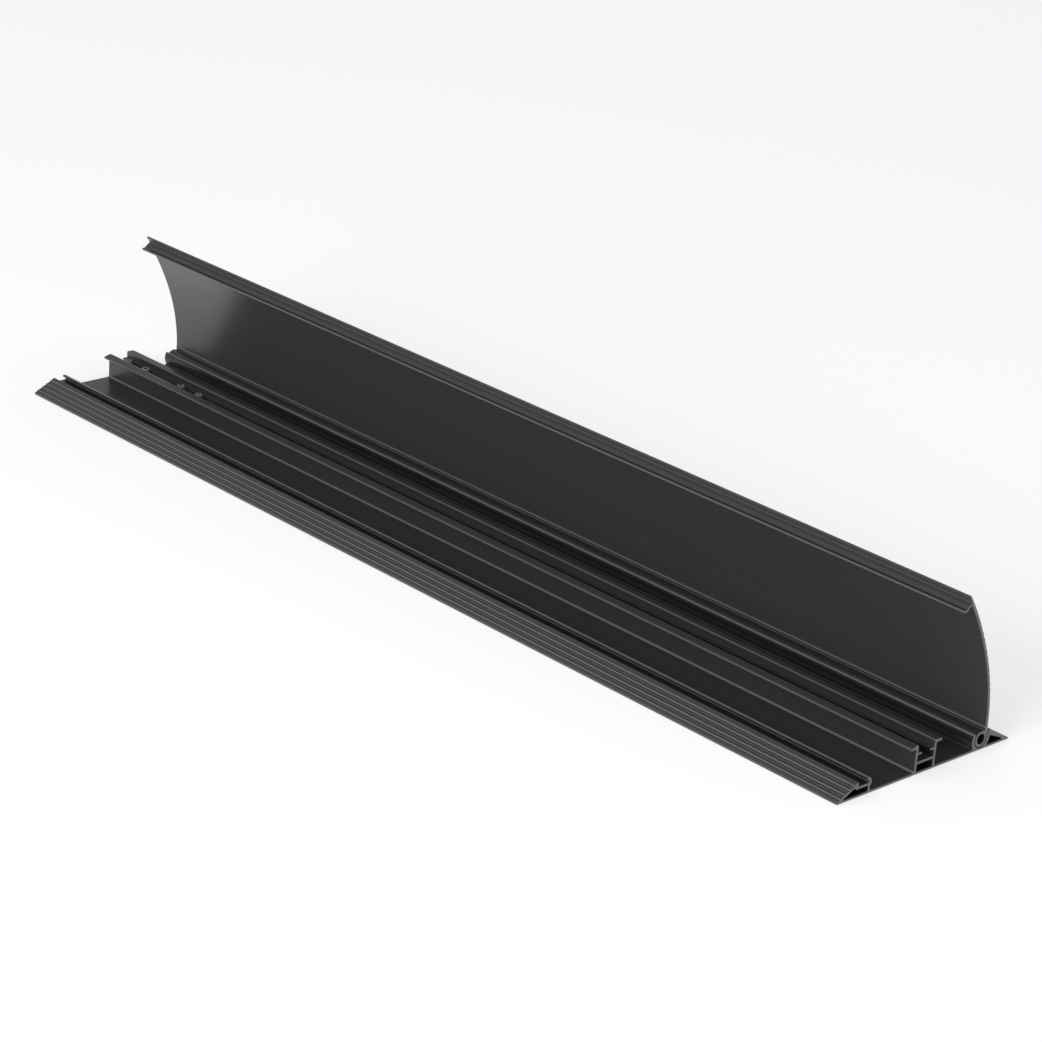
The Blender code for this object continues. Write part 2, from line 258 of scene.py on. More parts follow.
class Grained:
    """A finish with a grain in relief and a roughness that varies."""

    roughness: float
    roughness_swing: float
    grain_height_mm: float

    def lay_on(self, tree: Tree, shader: Node, colour: Node, grain: Node, gloss: Socket) -> None:
        """Lead the finish's colour, grain and roughness into its shader.

        Args:
            tree: The finish's node tree.
            shader: Its Principled shader.
            colour: The node whose result is the colour.
            grain: The noise that stands in relief.
            gloss: The value that the roughness follows.
        """
        low, high = NOISE_SPAN
        rough = add_node(tree, "ShaderNodeMapRange", None, {
            "Value": gloss, "From Min": low, "From Max": high,
            "To Min": self.roughness - self.roughness_swing,
            "To Max": self.roughness + self.roughness_swing,
        })
        bump = add_node(tree, "ShaderNodeBump", None, {
            "Height": grain.outputs["Fac"], "Distance": self.grain_height_mm * MM,
            "Strength": BUMP_STRENGTH,
        })
        plug(tree, shader, {
            "Base Color": colour.outputs["Result"], "Roughness": rough.outputs["Result"],
            "Normal": bump.outputs["Normal"],
        })


@dataclass(frozen=True)
class BlackAnodisedAluminium(Grained):
    """Aluminium alloy, extruded, etched to a satin and anodised with a black dye.

    The dyed oxide film is a dielectric over the metal, so the surface is a deep neutral black with
    a soft reflection that grows at low angles. The etch leaves a fine even grain, and the die faint
    lines along the length. The outer edges are paler, partly rubbed and partly a painted highlight,
    and the roots and sheltered places are darkened with a painted shade.
    """

    name: str = "black_anodised_aluminium"
    film: str = "#373738"
    film_pale: str = "#3a3a3b"
    # Painted shade for roots, recesses and hollows
    root: str = "#161617"
    # Rubbed edges, and the painted highlight on rounded edges and fillets
    edge: str = "#7a7a7b"
    roughness: float = 0.29
    roughness_swing: float = 0.015
    ior: float = 1.52
    die_line_mm: float = 1.6
    die_band_mm: float = 9.0
    line_run_mm: float = 3000.0
    line_depth: float = 0.04
    line_span: tuple[float, float] = (0.35, 0.65)
    grain_mm: float = 1.5
    grain_height_mm: float = 0.009
    even_wear_and_highlight: float = 0.75
    most_wear_and_highlight: float = 0.8

    def make(self) -> Material:
        """Make the material, which reads the extrusion's section UV map, its edge wear with painted
        highlight, and its painted root shade.

        Returns:
            The material.
        """
        material, tree, shader = new_material(self.name)
        uv = add_node(tree, "ShaderNodeUVMap", {"uv_map": SECTION_UV}).outputs["UV"]
        wear_and_highlight = add_node(tree, "ShaderNodeAttribute", {"attribute_name": WEAR_AND_HIGHLIGHT})
        root = add_node(tree, "ShaderNodeAttribute", {"attribute_name": PAINTED_SHADE})
        # Die lines are under 0.2 mm apart on the real profile, and are drawn coarser so that they show
        lines = drawn_noise(tree, uv, self.line_run_mm, self.die_line_mm, 1.0)
        bands = drawn_noise(tree, uv, self.line_run_mm, self.die_band_mm, 2.0)
        # The etch's grain is under 0.1 mm on the real film, and is drawn coarser so that it shows
        grain = grain_noise(tree, self.grain_mm, 2.0)

        colour = add_node(tree, "ShaderNodeMix", {"data_type": "RGBA"}, {
            "Factor": bands, "A": linear(self.film), "B": linear(self.film_pale),
        })
        faint, deep_line = self.line_span
        drawn = add_node(tree, "ShaderNodeMapRange", None, {
            "Value": lines, "From Min": faint, "From Max": deep_line,
            "To Min": self.line_depth, "To Max": 0.0,
        })
        # The painted shade and the die lines darken the film
        shade_and_die_lines = add_node(tree, "ShaderNodeMath", {"operation": "MAXIMUM"}, {
            0: root.outputs["Fac"], 1: drawn.outputs["Result"],
        })
        # Edge wear with a painted highlight, broken by the die lines
        evened_wear_and_highlight = add_node(tree, "ShaderNodeMath", {"operation": "MULTIPLY"}, {
            0: wear_and_highlight.outputs["Fac"], 1: self.even_wear_and_highlight,
        })
        broken = add_node(tree, "ShaderNodeMath", {"operation": "MULTIPLY_ADD", "use_clamp": True}, {
            0: wear_and_highlight.outputs["Fac"], 1: lines, 2: evened_wear_and_highlight.outputs["Value"],
        })
        wear_and_highlight_share = add_node(tree, "ShaderNodeMath", {"operation": "MULTIPLY"}, {
            0: broken.outputs["Value"], 1: self.most_wear_and_highlight,
        })
        for share, over in ((shade_and_die_lines, self.root), (wear_and_highlight_share, self.edge)):
            colour = add_node(tree, "ShaderNodeMix", {"data_type": "RGBA"}, {
                "Factor": share.outputs["Value"], "A": colour.outputs["Result"], "B": linear(over),
            })
        self.lay_on(tree, shader, colour, grain, bands)
        plug(tree, shader, {"Metallic": 0.0, "IOR": self.ior})
        return material


@dataclass(frozen=True)
class SawnAluminium:
    """Bare aluminium alloy where a circular saw cut the stock to length.

    The blade leaves shallow arcs of one radius across the section, and the fresh metal has dulled
    to a flat grey, so the ends stand out from the black film without shining.
    """

    name: str = "sawn_aluminium"
    colour: str = "#7a7a7b"
    colour_dull: str = "#6c6c6d"
    roughness: float = 0.5
    cloud_mm: float = 6.0
    tooth_mark_mm: float = 0.9
    blade_radius_mm: float = 175.0
    blade_shift_share: float = 0.25
    wobble: float = 1.5
    mark_height_mm: float = 0.02

    def make(self) -> Material:
        """Make the material, whose arcs are rings round an axis along X, far below the section.

        Returns:
            The material.
        """
        material, tree, shader = new_material(self.name)
        place = add_node(tree, "ShaderNodeTexCoord")
        reach = self.blade_radius_mm * MM
        blade = add_node(tree, "ShaderNodeMapping", {"vector_type": "POINT"}, {
            "Vector": place.outputs["Object"], "Location": (0.0, self.blade_shift_share * reach, reach),
        })
        # Tooth marks are about 0.3 mm apart on the real cut, and are drawn coarser so that they show
        marks = add_node(tree, "ShaderNodeTexWave", {"wave_type": "RINGS", "rings_direction": "X"}, {
            "Vector": blade.outputs["Vector"], "Scale": WAVE_PITCH / (self.tooth_mark_mm * MM),
            "Distortion": self.wobble, "Detail": 2.0, "Detail Scale": 2.0,
        })
        cloud = grain_noise(tree, self.cloud_mm, 3.0)
        colour = add_node(tree, "ShaderNodeMix", {"data_type": "RGBA"}, {
            "Factor": cloud.outputs["Fac"], "A": linear(self.colour_dull), "B": linear(self.colour),
        })
        bump = add_node(tree, "ShaderNodeBump", None, {
            "Height": marks.outputs["Fac"], "Distance": self.mark_height_mm * MM,
            "Strength": BUMP_STRENGTH,
        })
        plug(tree, shader, {
            "Base Color": colour.outputs["Result"], "Metallic": 1.0, "Roughness": self.roughness,
            "Normal": bump.outputs["Normal"],
        })
        return material


@dataclass(frozen=True)
class PhosphatedSteel(Grained):
    """Alloy steel with a zinc phosphate coat, lightly oiled.

    The coat is a fine crust of grey crystals, so it scatters light like slate where it is dry and
    gets a soft darker sheen where the oil lies. Sockets and thread roots carry a painted shade.
    """

    name: str = "phosphated_steel"
    colour: str = "#8c8c8e"
    colour_dry: str = "#b8b8ba"
    # Painted shade for the socket and the thread roots
    root: str = "#141415"
    metallic: float = 0.25
    roughness: float = 0.45
    roughness_swing: float = 0.1
    patch_mm: float = 2.5
    grain_mm: float = 0.4
    grain_height_mm: float = 0.006

    def make(self) -> Material:
        """Make the material, which reads Object coordinates and the piece's painted root shade.

        Returns:
            The material.
        """
        material, tree, shader = new_material(self.name)
        root = add_node(tree, "ShaderNodeAttribute", {"attribute_name": PAINTED_SHADE})
        patch = grain_noise(tree, self.patch_mm, 3.0)
        grain = grain_noise(tree, self.grain_mm, 2.0)
        crust = add_node(tree, "ShaderNodeMix", {"data_type": "RGBA"}, {
            "Factor": patch.outputs["Fac"], "A": linear(self.colour), "B": linear(self.colour_dry),
        })
        colour = add_node(tree, "ShaderNodeMix", {"data_type": "RGBA"}, {
            "Factor": root.outputs["Fac"], "A": crust.outputs["Result"], "B": linear(self.root),
        })
        self.lay_on(tree, shader, colour, grain, patch.outputs["Fac"])
        plug(tree, shader, {"Metallic": self.metallic})
        return material


@dataclass(frozen=True)
class OpalAcrylic:
    """The studio floor: a matt opal acrylic sheet over a light box, which glows evenly."""

    name: str = "opal_acrylic"
    colour: str = "#f4f4f3"
    roughness: float = 0.9
    specular: float = 0.2
    glow: float = 0.48

    def make(self) -> Material:
        """Make the material.

        Returns:
            The material.
        """
        material, tree, shader = new_material(self.name)
        plug(tree, shader, {
            "Base Color": linear(self.colour), "Roughness": self.roughness,
            "Specular IOR Level": self.specular,
            "Emission Color": linear(self.colour), "Emission Strength": self.glow,
        })
        return material


def unit(vectors: Array) -> Array:
    """Scale vectors, held along the last axis, to length 1. A zero vector stays zero."""
    length = np.linalg.norm(vectors, axis=-1, keepdims=True)
    return vectors / np.maximum(length, TINY)


def cross(a: Array, b: Array) -> Array:
    """The cross product of rows of plane vectors, a_y b_z - a_z b_y."""
    return a[:, 0] * b[:, 1] - a[:, 1] * b[:, 0]


def rows(*corners: tuple[float, ...]) -> Array:
    """Gather corners (y, z) or (y, z, radius) into rows of y, z and radius."""
    return np.array([corner if len(corner) == 3 else (*corner, 0.0) for corner in corners])


def ring_quads(rings: int, columns: int) -> Array:
    """Faces of four between neighbouring rings of a grid whose columns close on themselves.

    Args:
        rings: The number of rings, each of which holds its vertices in a row.
        columns: The number of vertices in each ring.

    Returns:
        Rows of four vertex numbers, ring by ring.
    """
    i = np.arange(rings - 1)[:, None] * columns
    j = np.arange(columns)[None, :]
    k = (j + 1) % columns
    return np.stack([i + j, i + k, i + columns + k, i + columns + j], axis=-1).reshape(-1, 4)


def ramp(values: Array, start: float, full: float) -> Array:
    """Values on a ramp from 0 at start to 1 at full, held at both ends."""
    return np.clip((values - start) / (full - start), 0.0, 1.0)


def polar(centre: Point, radius: float, degrees: float) -> Point:
    """The point at an angle and a radius about a centre."""
    angle = math.radians(degrees)
    return (centre[0] + radius * math.cos(angle), centre[1] + radius * math.sin(angle))


def arc(centre: Point, radius: float, start: float, end: float, step: float = 4.0) -> Array:
    """Draw an arc: centre + radius (cos t, sin t), with t even from start to end.

    Args:
        centre: The arc's centre in millimetres.
        radius: Its radius in millimetres.
        start: The first angle in degrees.
        end: The last angle in degrees.
        step: The widest angle between two points, in degrees.

    Returns:
        Rows of y, z and a corner radius of 0.
    """
    count = max(4, math.ceil(abs(end - start) / step)) + 1
    angle = np.radians(np.linspace(start, end, count))
    y = centre[0] + radius * np.cos(angle)
    z = centre[1] + radius * np.sin(angle)
    return np.column_stack([y, z, np.zeros(count)])


def rounded(corners: Array, steps: int = 8) -> Array:
    """Round a closed outline's corners with tangent arcs.

    At a corner P, with unit directions a and b to its neighbours and a half angle h between them,
    the arc's centre is P + (a + b) / |a + b| * r / sin h. The arc starts at P + a * r / tan h and
    turns through pi - 2 h about that centre.

    Args:
        corners: Rows of y, z and radius, where a radius of 0 keeps the corner.
        steps: The number of chords in each arc.

    Returns:
        Rows of y and z.
    """
    points, radius = corners[:, :2], corners[:, 2]
    before = unit(np.roll(points, 1, axis=0) - points)
    after = unit(np.roll(points, -1, axis=0) - points)
    half = 0.5 * np.arccos(np.clip((before * after).sum(axis=1), -1.0, 1.0))
    half = np.maximum(half, TINY)
    centre = points + unit(before + after) * (radius / np.sin(half))[:, None]
    spoke = points + before * (radius / np.tan(half))[:, None] - centre
    turn = -np.sign(cross(before, after)) * (np.pi - 2.0 * half)
    angle = turn[:, None] * np.linspace(0.0, 1.0, steps + 1)[None, :]
    y = np.cos(angle) * spoke[:, :1] - np.sin(angle) * spoke[:, 1:]
    z = np.sin(angle) * spoke[:, :1] + np.cos(angle) * spoke[:, 1:]
    swept = np.stack([y, z], axis=-1) + centre[:, None, :]
    plain = radius == 0.0
    swept[plain, 0] = points[plain]
    keep = np.ones(swept.shape[:2], dtype=bool)
    keep[plain, 1:] = False
    return swept[keep]


@dataclass(frozen=True)
class Mark:
    """A place on a section, how far it reaches, and the edge wear with painted highlight or the least
    painted shade set there.
    """

    place: Point
    reach: float
    wear_and_highlight: float | None = None
    root: float | None = None

    def near(self, points: Array) -> Array:
        """Tell which points lie within reach."""
        return np.linalg.norm(points - np.array(self.place), axis=1) < self.reach


@dataclass
class Ring:
    """A closed loop of a section, which keeps the metal on the left of its way round."""

    points: Array
    turn: Turn
    marks: tuple[Mark, ...] = ()
    shelter_shade: float = 0.0
    crease_deg: float = 32.0
    support: float = 0.5
    fade: float = 4.0
    wear_from: float = 0.55
    wear_full: float = 2.2
    root_from: float = 1.2
    root_full: float = 3.3
    hollow_shade: float = 0.8
    mitre_floor: float = 0.7
    ray_lift: float = 0.05
    ray_first_deg: float = 6.0
    ray_step_deg: float = 7.0
    least_sky: float = 1e-3
    least_step: float = 1e-4

    def __post_init__(self) -> None:
        """Drop repeated points, add support points, set the way round and measure the edges."""
        step = np.linalg.norm(np.roll(self.points, -1, axis=0) - self.points, axis=1)
        self.points = self.supported(self.points[step > self.least_step])
        ahead = np.roll(self.points, -1, axis=0)
        area = 0.5 * cross(self.points, ahead).sum()
        if area * self.turn.value < 0.0:
            self.points = self.points[::-1]
            ahead = np.roll(self.points, -1, axis=0)
        edge = ahead - self.points
        self.length = np.linalg.norm(edge, axis=1)
        self.normal = unit(np.column_stack([edge[:, 1], -edge[:, 0]]))
        self.before = np.roll(self.normal, 1, axis=0)

    def supported(self, points: Array) -> Array:
        """Add points near both ends of each long edge, so that wear and painted highlight stay beside it
        and painted shade fades.

        Args:
            points: The ring's own points.

        Returns:
            All points in the same order.
        """
        step = np.roll(points, -1, axis=0) - points
        length = np.linalg.norm(step, axis=1)
        close = np.full(len(length), self.support)
        wide = np.full(len(length), self.fade)
        place = np.stack([0.0 * close, close, wide, length - wide, length - close], axis=1)
        spread = points[:, None, :] + step[:, None, :] * (place / length[:, None])[..., None]
        long, longer = length > 3.0 * self.support, length > 3.0 * self.fade
        return spread[np.stack([length > 0.0, long, longer, longer, long], axis=1)]

    def bend(self) -> Array:
        """The signed angle that the ring turns through at each point, positive round outer edges."""
        return np.arctan2(cross(self.before, self.normal), (self.before * self.normal).sum(axis=1))

    def corner_normals(self) -> tuple[Array, Array]:
        """Normals at both ends of each edge: a length-weighted mean, or the edge's own at a crease.

        Returns:
            A normal for each edge's start and one for its end.
        """
        weight = np.roll(self.length, 1)[:, None]
        mean = unit(self.before * weight + self.normal * self.length[:, None])
        smooth = (np.abs(self.bend()) < math.radians(self.crease_deg))[:, None]
        start = np.where(smooth, mean, self.normal)
        end = np.where(np.roll(smooth, -1, axis=0), np.roll(mean, -1, axis=0), self.normal)
        return start, end

    def mitre(self) -> Array:
        """The way that each point moves when both of its edges move out by 1."""
        both = self.before + self.normal
        return both / np.maximum((both * self.normal).sum(axis=1, keepdims=True), self.mitre_floor)

    def curvature(self) -> Array:
        """Bend over length at each point, positive round outer edges and negative in roots."""
        return self.bend() / (0.5 * (self.length + np.roll(self.length, 1)))

    def openness(self) -> Array:
        """The share of the sky above each point that the section itself leaves free.

        Rays go from the point, moved out by a hair, at even angles above the floor. A ray p + s d
        meets the edge q + t e where s is above 0 and t lies in 0 to 1, and each ray counts by its angle
        to the point's normal. A point that faces no sky counts as sheltered.

        Returns:
            One share from 0 to 1 for each point.
        """
        normal = unit(self.before + self.normal)
        origin = self.points + self.ray_lift * normal
        angle = np.radians(np.arange(self.ray_first_deg, 180.0, self.ray_step_deg))
        rays = np.column_stack([np.cos(angle), np.sin(angle)])
        edge = np.roll(self.points, -1, axis=0) - self.points
        gap = self.points[None, :, :] - origin[:, None, :]
        over = rays[:, 0, None] * edge[None, :, 1] - rays[:, 1, None] * edge[None, :, 0]
        over = np.where(np.abs(over) < TINY, TINY, over)
        along = (gap[..., 0] * edge[:, 1] - gap[..., 1] * edge[:, 0])[:, None, :] / over[None]
        ray_y, ray_z = rays[None, :, None, 0], rays[None, :, None, 1]
        share = (gap[:, None, :, 0] * ray_z - gap[:, None, :, 1] * ray_y) / over[None]
        free = ~((along > 0.0) & (share >= 0.0) & (share <= 1.0)).any(axis=2)
        weight = np.clip(normal @ rays.T, 0.0, None)
        total = weight.sum(axis=1)
        left_free = (weight * free).sum(axis=1) / np.maximum(total, self.least_sky)
        return np.where(total > self.least_sky, left_free, 0.0)

    def wear_and_highlight(self) -> Array:
        """Edge wear with painted highlight: the outward curvature on a ramp, or a mark's own value.

        Returns:
            One value from 0 to 1 for each point.
        """
        wear_and_highlight_share = ramp(self.curvature(), self.wear_from, self.wear_full)
        for mark in self.marks:
            if mark.wear_and_highlight is not None:
                wear_and_highlight_share = np.where(mark.near(self.points), mark.wear_and_highlight, wear_and_highlight_share)
        return wear_and_highlight_share

    def root(self) -> Array:
        """Painted root shade: the most of inward curvature, shelter from the sky and marks.

        Returns:
            One value from 0 to 1 for each point.
        """
        if self.turn is Turn.HOLLOW:
            return np.full(len(self.points), self.hollow_shade)
        shade = ramp(-self.curvature(), self.root_from, self.root_full)
        if self.shelter_shade > 0.0:
            shade = np.maximum(shade, self.shelter_shade * (1.0 - self.openness()) ** 2)
        for mark in self.marks:
            if mark.root is not None:
                shade = np.where(mark.near(self.points), np.maximum(shade, mark.root), shade)
        return shade


@dataclass
class Extrusion:
    """A section carried along an axis, with through hollows and two sawn ends whose edges are broken."""

    name: str
    rings: list[Ring]
    length: float
    broken_edge: float = 0.18
    spans: int = 16
    way: Way = Way.ALONG_X
    middle: float = 0.0

    def stations(self) -> tuple[Array, Array]:
        """Divide the length into even spans between the two broken edges.

        Returns:
            The section's places along the axis and how far it is drawn in at each, in millimetres.
        """
        half = self.length / 2.0
        inner = np.linspace(-half + self.broken_edge, half - self.broken_edge, self.spans + 1)
        x = np.concatenate([[-half], inner, [half]]) + self.middle
        inset = np.zeros(len(x))
        inset[[0, -1]] = self.broken_edge
        return x, inset

    def wall(self, ring: Ring, first: int) -> tuple[Array, Array, Array, Array]:
        """Carry one ring along the stations.

        The surface is (x_s, p_j - inset_s m_j), with p_j the ring's points and m_j their mitres.

        Args:
            ring: The ring to carry.
            first: The number of the wall's first vertex.

        Returns:
            Vertices, faces of four, and each face corner's normal and UV.
        """
        x, inset = self.stations()
        count = len(ring.points)
        section = ring.points[None] - inset[:, None, None] * ring.mitre()[None]
        across = np.broadcast_to(x[:, None, None], (len(x), count, 1))
        vertices = np.concatenate([across, section], axis=2).reshape(-1, 3)

        faces = ring_quads(len(x), count) + first

        start, end = ring.corner_normals()
        tilt = np.zeros(len(x) - 1)
        tilt[[0, -1]] = (-1.0, 1.0)
        flat = np.stack([start, end, end, start], axis=1)
        shape = (len(tilt), *flat.shape[:2])
        lean = np.broadcast_to(tilt[:, None, None], shape)
        normals = np.concatenate([lean[..., None], np.broadcast_to(flat, (*shape, 2))], axis=-1)

        low = np.cumsum(ring.length) - ring.length
        high = low + ring.length
        v = np.broadcast_to(np.stack([low, high, high, low], axis=1), shape)
        u = np.broadcast_to(np.stack([x[:-1], x[:-1], x[1:], x[1:]], axis=1)[:, None, :], shape)
        uvs = np.stack([u, v], axis=-1)
        return vertices, faces, unit(normals).reshape(-1, 3), uvs.reshape(-1, 2)

    def caps(self, firsts: Array) -> tuple[Array, Array, Array]:
        """Fill both ends of the section with triangles over the end rings' own vertices.

        Args:
            firsts: The number of each wall's first vertex.

        Returns:
            Faces of three, and each face corner's normal and UV.
        """
        loops = [ring.points - self.broken_edge * ring.mitre() for ring in self.rings]
        flat = np.concatenate(loops)
        filled = tessellate_polygon([[Vector((y, z, 0.0)) for y, z in loop] for loop in loops])
        triangles = np.array(filled)
        a, b, c = (flat[triangles[:, i]] for i in range(3))
        flip = cross(b - a, c - a) < 0.0
        triangles[flip] = triangles[flip][:, ::-1]

        last = self.spans + 2
        counts = [len(ring.points) for ring in self.rings]
        left = np.concatenate([first + np.arange(n) for first, n in zip(firsts, counts)])
        right = np.concatenate([first + last * n + np.arange(n) for first, n in zip(firsts, counts)])
        faces = np.concatenate([left[triangles[:, ::-1]], right[triangles]])
        side = np.repeat([-1.0, 1.0], len(triangles) * 3)
        normals = np.column_stack([side, np.zeros((len(side), 2))])
        uvs = np.concatenate([flat[triangles[:, ::-1]], flat[triangles]]).reshape(-1, 2)
        return faces, normals, uvs

    def build(self, wall_finish: Material, end_finish: Material) -> Piece:
        """Make the piece as one closed mesh.

        Args:
            wall_finish: The material of the extruded faces.
            end_finish: The material of the sawn ends.

        Returns:
            The object, at the origin.
        """
        counts = [0] + [len(ring.points) * (self.spans + 3) for ring in self.rings]
        firsts = np.cumsum(counts)[:-1]
        parts = zip(*(self.wall(ring, first) for ring, first in zip(self.rings, firsts)))
        vertices, walls, normals, uvs = (np.concatenate(part) for part in parts)
        triangles, cap_normals, cap_uvs = self.caps(firsts)
        places = np.roll(vertices, self.way.value, axis=1)
        facing = np.roll(np.concatenate([normals, cap_normals]), self.way.value, axis=1)

        mesh = bpy.data.meshes.new(self.name)
        mesh.from_pydata((places * MM).tolist(), [], walls.tolist() + triangles.tolist())
        mesh.materials.append(wall_finish)
        mesh.materials.append(end_finish)
        slots = np.repeat([0, 1], [len(walls), len(triangles)])
        mesh.polygons.foreach_set("material_index", slots)
        layer = mesh.uv_layers.new(name=SECTION_UV)
        layer.data.foreach_set("uv", (np.concatenate([uvs, cap_uvs]) * MM).ravel())
        for name, share in ((WEAR_AND_HIGHLIGHT, Ring.wear_and_highlight), (PAINTED_SHADE, Ring.root)):
            values = [np.tile(share(ring), self.spans + 3) for ring in self.rings]
            attribute = mesh.attributes.new(name, "FLOAT", "POINT")
            attribute.data.foreach_set("value", np.concatenate(values))
        mesh.shade_smooth()
        mesh.normals_split_custom_set(facing.tolist())
        mesh.update()
        return link(mesh)


def link(mesh: bpy.types.Mesh) -> Piece:
    """Put a mesh into the scene.

    Args:
        mesh: The finished mesh.

    Returns:
        Its object, of the same name and at the origin.
    """
    piece = bpy.data.objects.new(mesh.name, mesh)
    bpy.context.scene.collection.objects.link(piece)
    return piece


@dataclass
class Radii:
    """Radii of the sections' edges and roots, in millimetres."""

    crisp: float = 0.3
    eased: float = 0.5
    round: float = 0.8
    fillet: float = 1.6


@dataclass
class Hinge:
    """The bead and the cup about one axis, in millimetres and degrees."""

    centre: Point
    open_angle: float
    bead: float = 5.4
    bore: float = 3.4
    cup: float = 5.9
    cup_outer: float = 8.3


@dataclass
class Profile:
    """What both profiles have: the length, the part's width, the hinge and the radii of their edges."""

    length: float
    width: float
    hinge: Hinge
    radii: Radii = field(default_factory=Radii)
    shelter_shade: float = 0.0

    def placed(self, points: Array) -> Array:
        """Bring section points into the part's frame, whose Y starts at the middle of the width."""
        return points - np.array([self.width / 2.0, 0.0])

    def carry(
        self, name: str, loops: list[Array], marks: list[Mark], film: Material, sawn: Material
    ) -> Piece:
        """Carry the profile's section along the length, in the part's frame.

        Args:
            name: The piece's name.
            loops: The section's outline and then its hollows.
            marks: The places on the outline that have a wear or shade of their own.
            film: The finish of the extruded faces.
            sawn: The finish of the ends.

        Returns:
            The piece.
        """
        there = tuple(replace(m, place=tuple(self.placed(np.array([m.place]))[0])) for m in marks)
        outline, *hollows = [self.placed(loop) for loop in loops]
        rings = [Ring(outline, Turn.OUTER, there, self.shelter_shade)]
        rings += [Ring(hollow, Turn.HOLLOW) for hollow in hollows]
        return Extrusion(name, rings, self.length).build(film, sawn)


